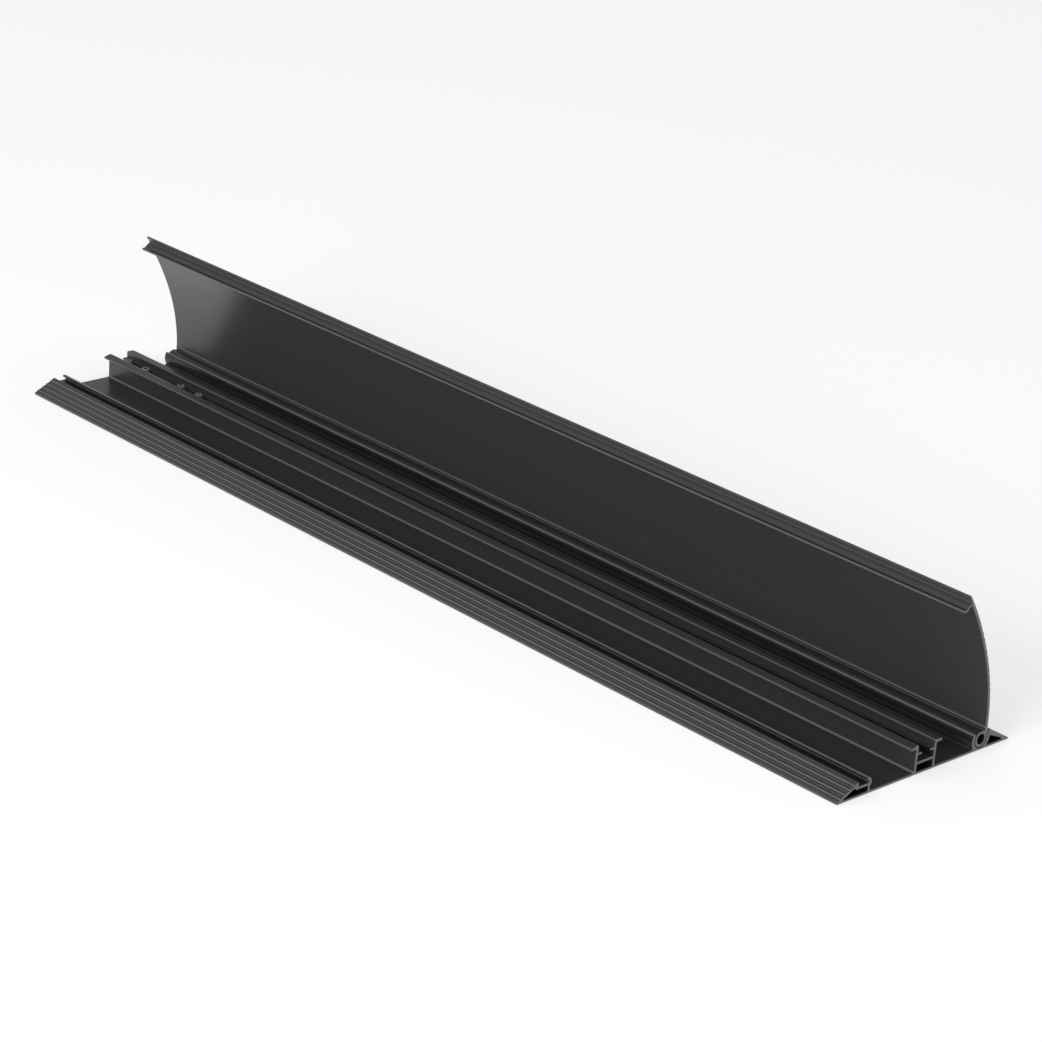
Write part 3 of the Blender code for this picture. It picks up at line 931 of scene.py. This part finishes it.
@dataclass
class BaseProfile(Profile):
    """The base: front ramp, cover groove, snap rib, slotted divider, hinge cup and back ramp."""

    # Share of painted shade in the places that the section hides from the sky
    shelter_shade: float = 0.4
    floor: float = 1.6
    wall: float = 1.9

    ramp_nose: float = 1.7
    ramp_slope: float = 0.48
    ramp_wall: float = 2.1
    ramp_top_y: float = 17.6
    ramp_lip_rise: float = 0.2
    ramp_lip_drop: float = 0.7
    cavity_peak_y: float = 15.2
    cavity_shoulder_y: float = 16.7
    tread_first_y: float = 2.1
    tread_pitch: float = 3.9
    tread_count: int = 4
    tread_corners: tuple[tuple[float, float, float], ...] = (
        (1.0, 0.12, 0.1), (0.82, 0.4, 0.15), (0.3, 0.44, 0.15), (0.0, -0.14, 0.1), (-0.6, -0.12, 0.0),
        (-0.8, 0.0, 0.0), (-1.4, 0.0, 0.0), (-1.65, -0.12, 0.1), (-1.9, 0.02, 0.0),
    )
    # Each tread's crest takes a painted highlight, and the feet of its riser and flute a painted shade
    tread_marks: tuple[Mark, ...] = (
        Mark((0.56, 0.42), 0.34, wear_and_highlight=0.8),
        Mark((-0.3, -0.13), 0.4, wear_and_highlight=0.0, root=0.9),
        Mark((-1.65, -0.1), 0.29, wear_and_highlight=0.0, root=0.8),
    )

    groove_left: float = 18.4
    groove_floor: float = 7.2
    groove_under: float = 5.2
    rib_left: float = 27.0
    rib_right: float = 28.9
    rib_neck_z: float = 4.6
    bulb_centre: Point = (26.4, 7.3)
    bulb_radius: float = 3.8
    bulb_wall: float = 1.8
    bulb_neck_angle: float = -32.0
    bulb_tip_angle: float = 88.0
    bulb_root_angle: float = 40.0
    bulb_root_radius: float = 1.1

    divider_left: float = 68.7
    divider_right: float = 87.6
    divider_left_wall: float = 2.1
    divider_left_top: float = 20.0
    divider_right_top: float = 19.3
    web_under: float = 6.6
    web_top: float = 8.5
    lip_under: float = 12.9
    lip_top: float = 14.6
    lip_reach_left: float = 3.7
    lip_reach_right: float = 3.9
    flange_under: float = 17.2
    flange_top: float = 19.0
    flange_left_tip: float = 18.7
    flange_reach: float = 4.8

    cup_left_angle: float = 148.0
    cup_right_angle: float = 20.0
    arm_stop: Point = (125.4, 11.2)
    arm_tip: Point = (123.6, 12.2)
    arm_top_angle: float = 150.0
    arm_foot_angle: float = 212.0
    back_stop: Point = (137.75, 10.2)
    back_top: Point = (137.45, 12.85)
    back_nose: float = 0.95
    back_cavity_angle: float = 3.0
    back_cavity_tip: Point = (150.9, 2.7)

    def ramp_z(self, y: Array | float) -> Array | float:
        """Height of the plain ramp face at y: nose + slope * y."""
        return self.ramp_nose + self.ramp_slope * y

    def slot_sides(self) -> Point:
        """The Y of the slot's left and right side."""
        return (self.divider_left + self.divider_left_wall, self.divider_right - self.wall)

    def treads(self) -> Array:
        """The anti-slip treads, from the top one down, each tread's corners laid on the ramp.

        Returns:
            Rows of y, z and corner radius.
        """
        corners = np.array(self.tread_corners)
        fronts = self.tread_first_y + self.tread_pitch * np.arange(self.tread_count)[::-1]
        y = fronts[:, None] + corners[None, :, 0]
        z = self.ramp_z(y) + corners[None, :, 1]
        radius = np.broadcast_to(corners[None, :, 2], y.shape)
        return np.stack([y, z, radius], axis=-1).reshape(-1, 3)

    def snap_rib(self) -> Array:
        """The rib up from the floor, its bulb, and the bulb's hooked inside down to the groove.

        Returns:
            Rows of y, z and corner radius.
        """
        r = self.radii
        inner = self.bulb_radius - self.bulb_wall
        half_wall = self.bulb_wall / 2.0
        tip = polar(self.bulb_centre, inner + half_wall, self.bulb_tip_angle)
        return np.concatenate([
            rows((self.rib_right, self.floor, r.fillet), (self.rib_right, self.rib_neck_z, r.eased)),
            arc(self.bulb_centre, self.bulb_radius, self.bulb_neck_angle, self.bulb_tip_angle),
            arc(tip, half_wall, self.bulb_tip_angle, self.bulb_tip_angle + 180.0, 12.0)[1:-1],
            arc(self.bulb_centre, inner, self.bulb_tip_angle, self.bulb_root_angle, 8.0),
            rows((self.bulb_centre[0] + inner, self.groove_floor, self.bulb_root_radius)),
        ])

    def divider(self) -> Array:
        """The right wall with its flange, the slot between both walls, and the left wall and flange.

        Returns:
            Rows of y, z and corner radius.
        """
        r = self.radii
        left, right = self.slot_sides()
        lip_left = left + self.lip_reach_left
        lip_right = right - self.lip_reach_right
        tip_right = self.divider_right + self.flange_reach
        tip_left = self.divider_left - self.flange_reach
        sides = (
            (self.divider_right, tip_right, self.flange_top, self.divider_right_top, right, lip_right),
            (self.divider_left, tip_left, self.flange_left_tip, self.divider_left_top, left, lip_left),
        )
        right_side, left_side = (
            rows(
                (outer, self.floor, r.fillet), (outer, self.flange_under, r.eased),
                (tip, self.flange_under, r.round), (tip, tip_top, r.round),
                (outer, top, r.fillet), (inner, top, r.round),
                (inner, self.lip_top, r.eased), (lip, self.lip_top, r.round),
                (lip, self.lip_under, r.round), (inner, self.lip_under, r.crisp),
                (inner, self.web_top, r.crisp),
            )
            for outer, tip, tip_top, top, inner, lip in sides
        )
        return np.concatenate([right_side, left_side[::-1]])

    def hinge_cup(self) -> Array:
        """The back ramp's top, the cup's inside and its left arm down to the compartment's floor.

        Returns:
            Rows of y, z and corner radius.
        """
        r = self.radii
        h = self.hinge
        foot = polar(h.centre, h.cup_outer, self.arm_foot_angle)
        slope = math.radians(self.arm_foot_angle - 180.0)
        return np.concatenate([
            rows((*self.back_top, r.crisp), (*self.back_stop, r.crisp)),
            arc(h.centre, h.cup, self.cup_right_angle, self.cup_left_angle - 360.0),
            rows((*self.arm_stop, r.crisp), (*self.arm_tip, r.eased)),
            arc(h.centre, h.cup_outer, self.arm_top_angle, self.arm_foot_angle),
            rows((foot[0] + (foot[1] - self.floor) * math.tan(slope), self.floor, r.round)),
        ])

    def outline(self) -> Array:
        """The outer outline, counter-clockwise seen from +X.

        Returns:
            Rows of y and z.
        """
        r = self.radii
        lip_z = self.ramp_z(self.ramp_top_y)
        corners = np.concatenate([
            rows((0.0, 0.0, r.eased), (self.width, 0.0, r.crisp), (self.width, self.back_nose, r.crisp)),
            self.hinge_cup(),
            self.divider(),
            self.snap_rib(),
            rows(
                (self.groove_left, self.groove_floor, r.round),
                (self.groove_left, lip_z - self.ramp_lip_drop, r.eased),
                (self.ramp_top_y, lip_z + self.ramp_lip_rise, r.eased),
            ),
            self.treads(),
            rows((0.0, self.ramp_nose, r.round)),
        ])
        return rounded(corners)

    def marks(self) -> list[Mark]:
        """Places that feet, the cover, cables and tools rub bright, painted highlights on edges and
        fillets, edges that take none, and places that take a painted shade.

        Returns:
            The marks in section millimetres.
        """
        bulb_y, bulb_z = self.bulb_centre
        left, right = self.slot_sides()
        lip_z = (self.lip_under + self.lip_top) / 2.0
        half_wall = self.bulb_wall / 2.0
        places = [
            Mark((self.ramp_top_y + 0.3, self.ramp_z(self.ramp_top_y)), 1.1, wear_and_highlight=0.12),
            # Painted shade in the groove
            Mark(((self.groove_left + bulb_y) / 2.0 + 0.8, self.groove_floor), 5.2, root=0.7),
            # Painted shade inside the bulb's hook
            Mark((bulb_y, bulb_z + self.bulb_radius - half_wall), half_wall + 0.1, wear_and_highlight=0.0, root=0.35),
            Mark((bulb_y + 0.4, bulb_z + self.bulb_radius), 0.9, wear_and_highlight=0.95),
            # Painted highlight on the hook's inner edge
            Mark((bulb_y + 1.8, self.groove_floor + 0.4), 0.8, wear_and_highlight=0.3),
            # Painted highlight along the fillet at the left wall's foot
            Mark((self.divider_left - 0.5, self.floor + 0.5), 0.7, wear_and_highlight=0.55),
            Mark((left + self.lip_reach_left, lip_z), 1.6, wear_and_highlight=0.0),
            # Painted shade on the right lip's left face
            Mark((right - self.lip_reach_right, lip_z), 1.2, wear_and_highlight=0.0, root=1.0),
            # Painted shade on the cup's outer arm
            Mark(polar(self.hinge.centre, self.hinge.cup_outer, 168.0), 2.3, wear_and_highlight=0.0, root=0.7),
            Mark(self.arm_tip, 0.95, wear_and_highlight=0.9),
        ]
        for tread in range(self.tread_count):
            for mark in self.tread_marks:
                y = self.tread_first_y + self.tread_pitch * tread + mark.place[0]
                places.append(replace(mark, place=(y, self.ramp_z(y) + mark.place[1])))
        return places

    def hollows(self) -> list[Array]:
        """The through hollows under the front ramp, in the divider and under the back ramp.

        Returns:
            The hollows' outlines, each as rows of y and z.
        """
        r = self.radii
        drop = self.ramp_wall * math.hypot(1.0, self.ramp_slope)
        toe = (self.floor + drop - self.ramp_nose) / self.ramp_slope
        front = rows(
            (toe, self.floor, r.crisp),
            (self.rib_left, self.floor, r.round),
            (self.rib_left, self.groove_under, r.eased),
            (self.cavity_shoulder_y, self.groove_under, r.eased),
            (self.cavity_peak_y, self.ramp_z(self.cavity_peak_y) - drop, r.crisp),
        )
        left, right = self.slot_sides()
        middle = rows(
            (left, self.floor, r.round),
            (right, self.floor, r.round),
            (right, self.web_under, r.eased),
            (left, self.web_under, r.eased),
        )
        h = self.hinge
        floor_angle = math.degrees(math.asin((self.floor - h.centre[1]) / h.cup_outer))
        back = np.concatenate([
            arc(h.centre, h.cup_outer, self.back_cavity_angle, floor_angle),
            rows((self.back_cavity_tip[0], self.floor, r.crisp), (*self.back_cavity_tip, r.eased)),
        ])
        return [rounded(front), rounded(middle), rounded(back)]

    def build(self, film: Material, sawn: Material) -> Piece:
        """Make the base in the part's frame, riding on the base body.

        Args:
            film: The finish of the extruded faces.
            sawn: The finish of the ends.

        Returns:
            The dressed piece.
        """
        loops = [self.outline(), *self.hollows()]
        piece = self.carry("base_extrusion", loops, self.marks(), film, sawn)
        return dress(piece, Body.BASE, Slot.BASE, "base_profile")


@dataclass
class HingedCover(Profile):
    """The cover: bead and neck, crowned panel with a ribbed band, front lip and snap leg."""

    crest: Point = (78.0, 22.8)
    front_radius: float = 205.0
    back_radius: float = 145.0
    panel: float = 2.3
    panel_front_y: float = 33.4
    panel_stop_y: float = 124.9
    panel_foot_y: float = 126.2
    lip: float = 1.3
    lip_y: float = 24.2
    lip_round: float = 0.53
    lip_root_y: float = 29.4
    rib_count: int = 12
    rib_pitch: float = 4.87
    rib_depth: float = 0.4
    rib_band_middle: float = 79.0
    rib_points: int = 12
    foot_ridge: tuple[Point, ...] = ((124.83, 12.06), (125.5, 11.94))
    foot_notch: Point = (126.07, 12.32)
    foot_heel: tuple[Point, ...] = ((129.7, 14.75), (127.85, 14.95))
    edge_run: float = 1.0
    neck_inner_angle: float = 132.5
    neck_outer_angle: float = 97.0
    leg_line: tuple[Point, ...] = ((30.3, 14.5), (31.5, 12.8), (32.4, 10.7), (32.3, 9.3))
    leg_end: Point = (32.0, 8.4)
    leg_end_angles: Point = (190.0, 350.0)
    leg_root: Point = (31.3, 14.95)
    leg_wall: float = 1.8
    leg_ease: float = 1.2
    back_points: int = 16
    front_points: int = 24
    inner_points: int = 64

    def crown(self, y: Array, depth: Array | float) -> Array:
        """Points below the crown surface.

        The crown is two arcs that share the crest. With R the arc's radius and t its angle from the
        crest, so that sin t = (y - crest_y) / R, the point is (crest_y + (R - depth) sin t,
        crest_z - R + (R - depth) cos t).

        Args:
            y: Places on the crown surface.
            depth: How far below that surface each point lies.

        Returns:
            Rows of y, z and a corner radius of 0.
        """
        y = np.asarray(y, dtype=float)
        radius = np.where(y < self.crest[0], self.front_radius, self.back_radius)
        angle = np.arcsin((y - self.crest[0]) / radius)
        inner = radius - depth
        across = self.crest[0] + inner * np.sin(angle)
        up = self.crest[1] - radius + inner * np.cos(angle)
        return np.column_stack([across, up, np.zeros(len(y))])

    def crown_corner(self, y: float, depth: float, radius: float) -> Array:
        """Lay one rounded corner below the crown surface.

        Args:
            y: The corner's place on the crown surface.
            depth: How far below that surface it lies.
            radius: The corner's radius.

        Returns:
            A row of y, z and radius.
        """
        corner = self.crown(np.array([y]), depth)
        corner[0, 2] = radius
        return corner

    def ribs(self) -> Array:
        """The ribbed band from back to front: each rib falls away by depth * |2 t| cubed.

        t runs from 0.5 at a rib's back valley to -0.5 at its front one.

        Returns:
            Rows of y, z and a corner radius of 0.
        """
        half = self.rib_count * self.rib_pitch / 2.0
        across = np.arange(self.rib_count * self.rib_points + 1) / self.rib_points
        share = 0.5 - np.mod(across, 1.0)
        y = self.rib_band_middle + half - across * self.rib_pitch
        return self.crown(y, self.rib_depth * np.abs(2.0 * share) ** 3)

    def leg(self) -> Array:
        """The snap leg: its middle line moved half a wall each way, with a round end and a root.

        Returns:
            Rows of y, z and corner radius.
        """
        half = self.leg_wall / 2.0
        line = np.array(self.leg_line)
        along = unit(np.concatenate([line[2:], line[-1:]]) - line[:-1])
        side = np.column_stack([-along[:, 1], along[:, 0]]) * half
        front = line[1:] - side
        back = line[1:] + side
        ease = np.full((len(front), 1), self.leg_ease)
        front_rows = np.concatenate([front, ease], axis=1)
        back_rows = np.concatenate([back, ease], axis=1)[:0:-1]
        end = arc(self.leg_end, half, *self.leg_end_angles, 10.0)
        return np.concatenate([front_rows, end, back_rows, rows((*self.leg_root, self.radii.round))])

    def outline(self) -> Array:
        """The closed cover's outline, counter-clockwise seen from +X.

        Returns:
            Rows of y and z.
        """
        r = self.radii
        h = self.hinge
        half_band = self.rib_count * self.rib_pitch / 2.0
        band_front = self.rib_band_middle - half_band
        band_back = self.rib_band_middle + half_band
        # The crown's points keep clear of the rounded corners at both of its edges
        back_y, front_y = self.panel_foot_y - self.edge_run, self.lip_y + self.edge_run
        inner = np.linspace(self.panel_front_y, self.panel_stop_y, self.inner_points)
        corners = np.concatenate([
            rows(*[(*point, r.eased) for point in self.foot_heel]),
            self.crown_corner(self.panel_foot_y, 0.0, r.eased),
            self.crown(np.linspace(back_y, band_back + r.eased, self.back_points), 0.0),
            self.ribs(),
            self.crown(np.linspace(band_front - r.eased, front_y, self.front_points), 0.0),
            self.crown_corner(self.lip_y, 0.0, self.lip_round),
            self.crown_corner(self.lip_y, self.lip, self.lip_round),
            self.crown_corner(self.lip_root_y, self.lip, r.round),
            self.leg(),
            self.crown(inner, self.panel),
            rows(*[(*point, r.eased) for point in self.foot_ridge]),
            rows((*self.foot_notch, r.crisp)),
            arc(h.centre, h.bead, self.neck_inner_angle, self.neck_outer_angle + 360.0),
        ])
        return rounded(corners)

    def placed(self, points: Array) -> Array:
        """Turn section points about the hinge by minus the opening angle, into the part's frame.

        Args:
            points: Rows of y and z of the closed cover.

        Returns:
            Rows of y and z of the open cover.
        """
        angle = math.radians(-self.hinge.open_angle)
        turn = np.array([[math.cos(angle), math.sin(angle)], [-math.sin(angle), math.cos(angle)]])
        centre = np.array(self.hinge.centre)
        return super().placed((points - centre) @ turn + centre)

    def marks(self) -> list[Mark]:
        """The lip's inside painted a little paler, a painted highlight on the foot's ridge, and places
        that take a painted shade.

        Returns:
            The marks in section millimetres of the closed cover.
        """
        lip = self.crown(np.array([(self.lip_y + self.lip_root_y) / 2.0]), self.lip)[0, :2]
        leg_y, leg_z = self.leg_end
        return [
            Mark(tuple(lip), (self.lip_root_y - self.lip_y) / 2.0 + 0.3, wear_and_highlight=0.09),
            # The leg's end, the bead and the ridge's foot take a painted shade, and the ridge a painted
            # highlight
            Mark((leg_y - 0.75, leg_z + 0.6), 0.6, wear_and_highlight=0.0, root=1.0),
            Mark(self.hinge.centre, self.hinge.bead + 0.1, root=0.65),
            Mark(self.foot_ridge[0], 0.4, wear_and_highlight=0.6),
            Mark(self.foot_ridge[1], 0.45, wear_and_highlight=0.0, root=0.9),
        ]

    def build(self, film: Material, sawn: Material) -> Piece:
        """Make the open cover in the part's frame, riding on the cover body.

        Args:
            film: The finish of the extruded faces.
            sawn: The finish of the ends.

        Returns:
            The dressed piece.
        """
        bore = arc(self.hinge.centre, self.hinge.bore, 0.0, 360.0)[:-1, :2]
        piece = self.carry("cover_extrusion", [self.outline(), bore], self.marks(), film, sawn)
        return dress(piece, Body.COVER, Slot.COVER, "hinged_cover")


@dataclass
class CouplingBar:
    """The flat bar that joins two lengths in the divider's slot, with a hole for each set screw."""

    screws: int = 4
    corner: float = 0.8
    broken_edge: float = 0.3
    hole_radius: float = 3.3

    def holes(self) -> list[Array]:
        """Draw a hole round each screw's middle.

        Returns:
            The holes' outlines, each as rows of x and y.
        """
        boxes = [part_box(f"set_screw_{number}") for number in range(1, self.screws + 1)]
        middles = [((low.x + high.x) / 2.0 / MM, (low.y + high.y) / 2.0 / MM) for low, high in boxes]
        return [arc(middle, self.hole_radius, 0.0, 360.0, 8.0)[:-1, :2] for middle in middles]

    def build(self, finish: Material) -> Piece:
        """Make the bar, whose outline in the X-Y plane is carried up Z, in the place of its CAD node.

        Args:
            finish: The bar's material.

        Returns:
            The dressed piece.
        """
        low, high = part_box("coupling_bar")
        left, front, right, back = (v / MM for v in (low.x, low.y, high.x, high.y))
        sides = ((left, front), (right, front), (right, back), (left, back))
        outline = rounded(rows(*[(*side, self.corner) for side in sides]))
        rings = [Ring(outline, Turn.OUTER)] + [Ring(hole, Turn.HOLLOW) for hole in self.holes()]
        height = (high.z - low.z) / MM
        middle = (high.z + low.z) / 2.0 / MM
        stock = Extrusion("slot_coupling_bar", rings, height, self.broken_edge, 1, Way.UP_Z, middle)
        return dress(stock.build(finish, finish), Body.BASE, Slot.BAR, "coupling_bar")


@dataclass
class SetScrew:
    """A threaded set screw with a coned point and a hexagon socket, in the place of its CAD node."""

    number: int
    pitch: float = 1.0
    thread: float = 0.5
    chamfer: float = 0.5
    point: float = 1.5
    point_radius: float = 1.4
    socket_radius: float = 1.75
    socket_depth: float = 3.0
    socket_bevel: float = 0.15
    socket_dip: float = 0.4
    flank_slope: float = 2.4
    crest_share: float = 0.7
    run_out: float = 0.4
    crease_deg: float = 30.0
    columns: int = 72
    turns_rows: int = 10

    def socket(self, angle: Array) -> Array:
        """The hexagon's radius at an angle: corner radius * cos 30 / cos of the angle off its side."""
        side = np.mod(angle, math.pi / 3.0) - math.pi / 6.0
        return self.socket_radius * math.cos(math.pi / 6.0) / np.cos(side)

    def shape(self, radius: float, length: float) -> tuple[Array, Array]:
        """The screw as radius and height over a grid of rings and angles.

        Up the shank the radius is R - thread * w, where w is a wave with flat crests and roots of
        (height / pitch - angle / 2 pi). Above it come the chamfer, the end and the socket.

        Args:
            radius: The thread's outer radius in millimetres.
            length: The screw's length in millimetres.

        Returns:
            Radii and heights, each with a row for each ring.
        """
        angle = np.linspace(0.0, 2.0 * math.pi, self.columns, endpoint=False)
        shank = length - self.point - self.chamfer
        count = math.ceil(shank / self.pitch * self.turns_rows)
        height = self.point + np.linspace(0.0, shank, count)[:, None]
        phase = np.mod(height / self.pitch - angle[None, :] / (2.0 * math.pi), 1.0)
        wave = np.clip(self.flank_slope * np.abs(2.0 * phase - 1.0) - self.crest_share, 0.0, 1.0)
        from_end = np.minimum(height - self.point, length - self.chamfer - height)
        ends = ramp(from_end, 0.0, self.run_out)
        hexagon = self.socket(angle)
        flat = np.ones(self.columns)
        profile = (
            (self.point_radius, 0.0),
            (radius - self.thread * wave * ends, height),
            (radius - self.chamfer, length),
            (hexagon + self.socket_bevel, length),
            (hexagon, length - self.socket_bevel),
            (hexagon, length - self.socket_depth),
        )
        radii, heights = (np.vstack([values * flat for values in part]) for part in zip(*profile))
        return radii, heights

    def build(self, finish: Material) -> Piece:
        """Make the screw as a closed grid with a pole at its point and one at its socket's floor.

        Args:
            finish: The screw's material.

        Returns:
            The dressed piece.
        """
        node = f"set_screw_{self.number}"
        low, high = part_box(node)
        radius = (high.x - low.x) / 2.0 / MM
        radii, heights = self.shape(radius, (high.z - low.z) / MM)
        rings, columns = radii.shape
        angle = np.linspace(0.0, 2.0 * math.pi, columns, endpoint=False)[None, :]
        grid = np.stack([radii * np.cos(angle), radii * np.sin(angle), heights], axis=-1).reshape(-1, 3)
        poles = np.array([[0.0, 0.0, 0.0], [0.0, 0.0, heights[-1, 0] - self.socket_dip]])
        foot = np.array([(low.x + high.x) / 2.0, (low.y + high.y) / 2.0, low.z])
        vertices = np.concatenate([grid, poles]) * MM + foot

        j = np.arange(columns)
        k = (j + 1) % columns
        point = np.column_stack([k, j, np.full(columns, len(grid))])
        last = (rings - 1) * columns
        floor = np.column_stack([last + j, last + k, np.full(columns, len(grid) + 1)])
        mesh = bpy.data.meshes.new(f"socket_screw_{self.number}")
        faces = ring_quads(rings, columns).tolist() + point.tolist() + floor.tolist()
        mesh.from_pydata(vertices.tolist(), [], faces)
        mesh.materials.append(finish)
        # Painted shade, deepening into the thread roots and full in the socket
        shade = np.zeros((rings, columns))
        shade[1:-4] = ramp(radius - radii[1:-4], 0.0, self.thread)
        shade[-2:] = 1.0
        attribute = mesh.attributes.new(PAINTED_SHADE, "FLOAT", "POINT")
        attribute.data.foreach_set("value", np.concatenate([shade.ravel(), [0.0, 1.0]]))
        mesh.shade_smooth()
        mesh.set_sharp_from_angle(angle=math.radians(self.crease_deg))
        return dress(link(mesh), Body.BASE, Slot.SCREW, node)


def dress(piece: Piece, body: Body, slot: Slot, node: str) -> Piece:
    """Let a piece ride on a body and stand for a CAD node, which is hidden.

    Args:
        piece: The new piece.
        body: The body that it rides on.
        slot: Not used.
        node: The CAD node that it replaces.

    Returns:
        The same piece.
    """
    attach(piece, body.value)
    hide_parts(node)
    LOG.info("%s: %d faces, rides on %s, for %s", piece.name, len(piece.data.polygons), body.value, node)
    return piece


@dataclass
class SoftBox:
    """A square area light: its name, its place and aim in metres, its size and its power."""

    name: str
    place: tuple[float, float, float]
    aim: tuple[float, float, float]
    size: float
    watts: float

    def build(self) -> None:
        """Put the light into the scene, facing its aim."""
        light = bpy.data.lights.new(self.name, "AREA")
        light.shape = "SQUARE"
        light.size = self.size
        light.energy = self.watts
        lamp = bpy.data.objects.new(self.name, light)
        away = Vector(self.place) - Vector(self.aim)
        lamp.location = self.place
        lamp.rotation_mode = "QUATERNION"
        lamp.rotation_quaternion = away.to_track_quat("Z", "Y")
        bpy.context.scene.collection.objects.link(lamp)


@dataclass
class Studio:
    """The pale floor, the soft light and the camera, in metres and degrees."""

    floor_size: float = 24.0
    floor_drop: float = 0.0001
    sky: str = "#ffffff"
    sky_strength: float = 0.48
    aim: tuple[float, float, float] = (0.0, 0.0458, 0.0103)
    distance: float = 2.2452
    azimuth: float = 46.156
    elevation: float = 21.953
    roll: float = 4.128
    lens: float = 110.733
    sensor: float = 36.0
    half_pixel: float = 0.5 / 1042.0
    clip: tuple[float, float] = (0.1, 60.0)
    box: SoftBox = field(
        default_factory=lambda: SoftBox("front_light", (0.9, -2.9, 1.3), (0.0, 0.0, 0.0), 1.4, 43.0)
    )

    def build(self) -> None:
        """Make the floor, the sky, the light and the camera."""
        self.floor()
        self.sky_light()
        self.box.build()
        self.camera()

    def floor(self) -> None:
        """Lay the floor just under the part."""
        half = self.floor_size / 2.0
        corners = [(-half, -half), (half, -half), (half, half), (-half, half)]
        mesh = bpy.data.meshes.new("studio_floor")
        mesh.from_pydata([(x, y, -self.floor_drop) for x, y in corners], [], [(0, 1, 2, 3)])
        mesh.materials.append(OpalAcrylic().make())
        link(mesh)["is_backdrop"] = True

    def sky_light(self) -> None:
        """Fill the room with an even white light."""
        world = bpy.data.worlds.new("studio_sky")
        world.use_nodes = True
        tree = world.node_tree
        plug(tree, tree.nodes["Background"], {"Color": linear(self.sky), "Strength": self.sky_strength})
        bpy.context.scene.world = world

    def camera(self) -> None:
        """Set the camera on a sphere round its aim, rolled about its own axis."""
        a, e, r = (math.radians(v) for v in (self.azimuth, self.elevation, self.roll))
        back = Vector((math.sin(a) * math.cos(e), -math.cos(a) * math.cos(e), math.sin(e)))
        level = Vector((math.cos(a), math.sin(a), 0.0))
        upright = back.cross(level)
        right = level * math.cos(r) + upright * math.sin(r)
        up = back.cross(right)
        turn = Matrix((right, up, back)).transposed()
        data = bpy.data.cameras.new("camera")
        data.lens = self.lens
        data.sensor_width = self.sensor
        data.shift_x = -self.half_pixel
        data.shift_y = self.half_pixel
        data.clip_start, data.clip_end = self.clip
        camera = bpy.data.objects.new("camera", data)
        camera.matrix_world = Matrix.LocRotScale(Vector(self.aim) + back * self.distance, turn, None)
        bpy.context.scene.collection.objects.link(camera)
        bpy.context.scene.camera = camera


def hinge_of(frame: dict, width: float) -> Hinge:
    """Read the hinge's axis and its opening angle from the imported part.

    Args:
        width: The base's width in millimetres, which puts Y 0 at the front ramp's tip.

    Returns:
        The hinge in section millimetres.
    """
    joint = next(j for j in frame["joints"] if j["name"] == "cover_hinge")
    _x, y, z = joint["pos_m"]
    return Hinge((y / MM + width / 2.0, z / MM), joint["range_deg"][1])


def main() -> None:
    """Load the part, dress every piece, and measure the scene's bounds."""
    logging.basicConfig(level=logging.INFO, format="%(name)s: %(message)s")
    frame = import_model()
    bpy.context.scene.view_settings.view_transform = "Standard"
    Studio().build()

    # The cover takes a paler copy of the film, a painted lightening that stands in for more light on the
    # cover
    base_film = BlackAnodisedAluminium().make()
    cover_film = BlackAnodisedAluminium("painted_lighter_black_anodised_aluminium", "#3e3e3f", "#414142").make()
    sawn = SawnAluminium().make()
    steel = PhosphatedSteel().make()
    low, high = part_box("base_profile")
    length = (high.x - low.x) / MM
    width = (high.y - low.y) / MM
    hinge = hinge_of(frame, width)
    BaseProfile(length, width, hinge).build(base_film, sawn)
    HingedCover(length, width, hinge).build(cover_film, sawn)
    bar = CouplingBar()
    bar.build(steel)
    for number in range(1, bar.screws + 1):
        SetScrew(number).build(steel)

    low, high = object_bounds()


if __name__ == "__main__":
    main()
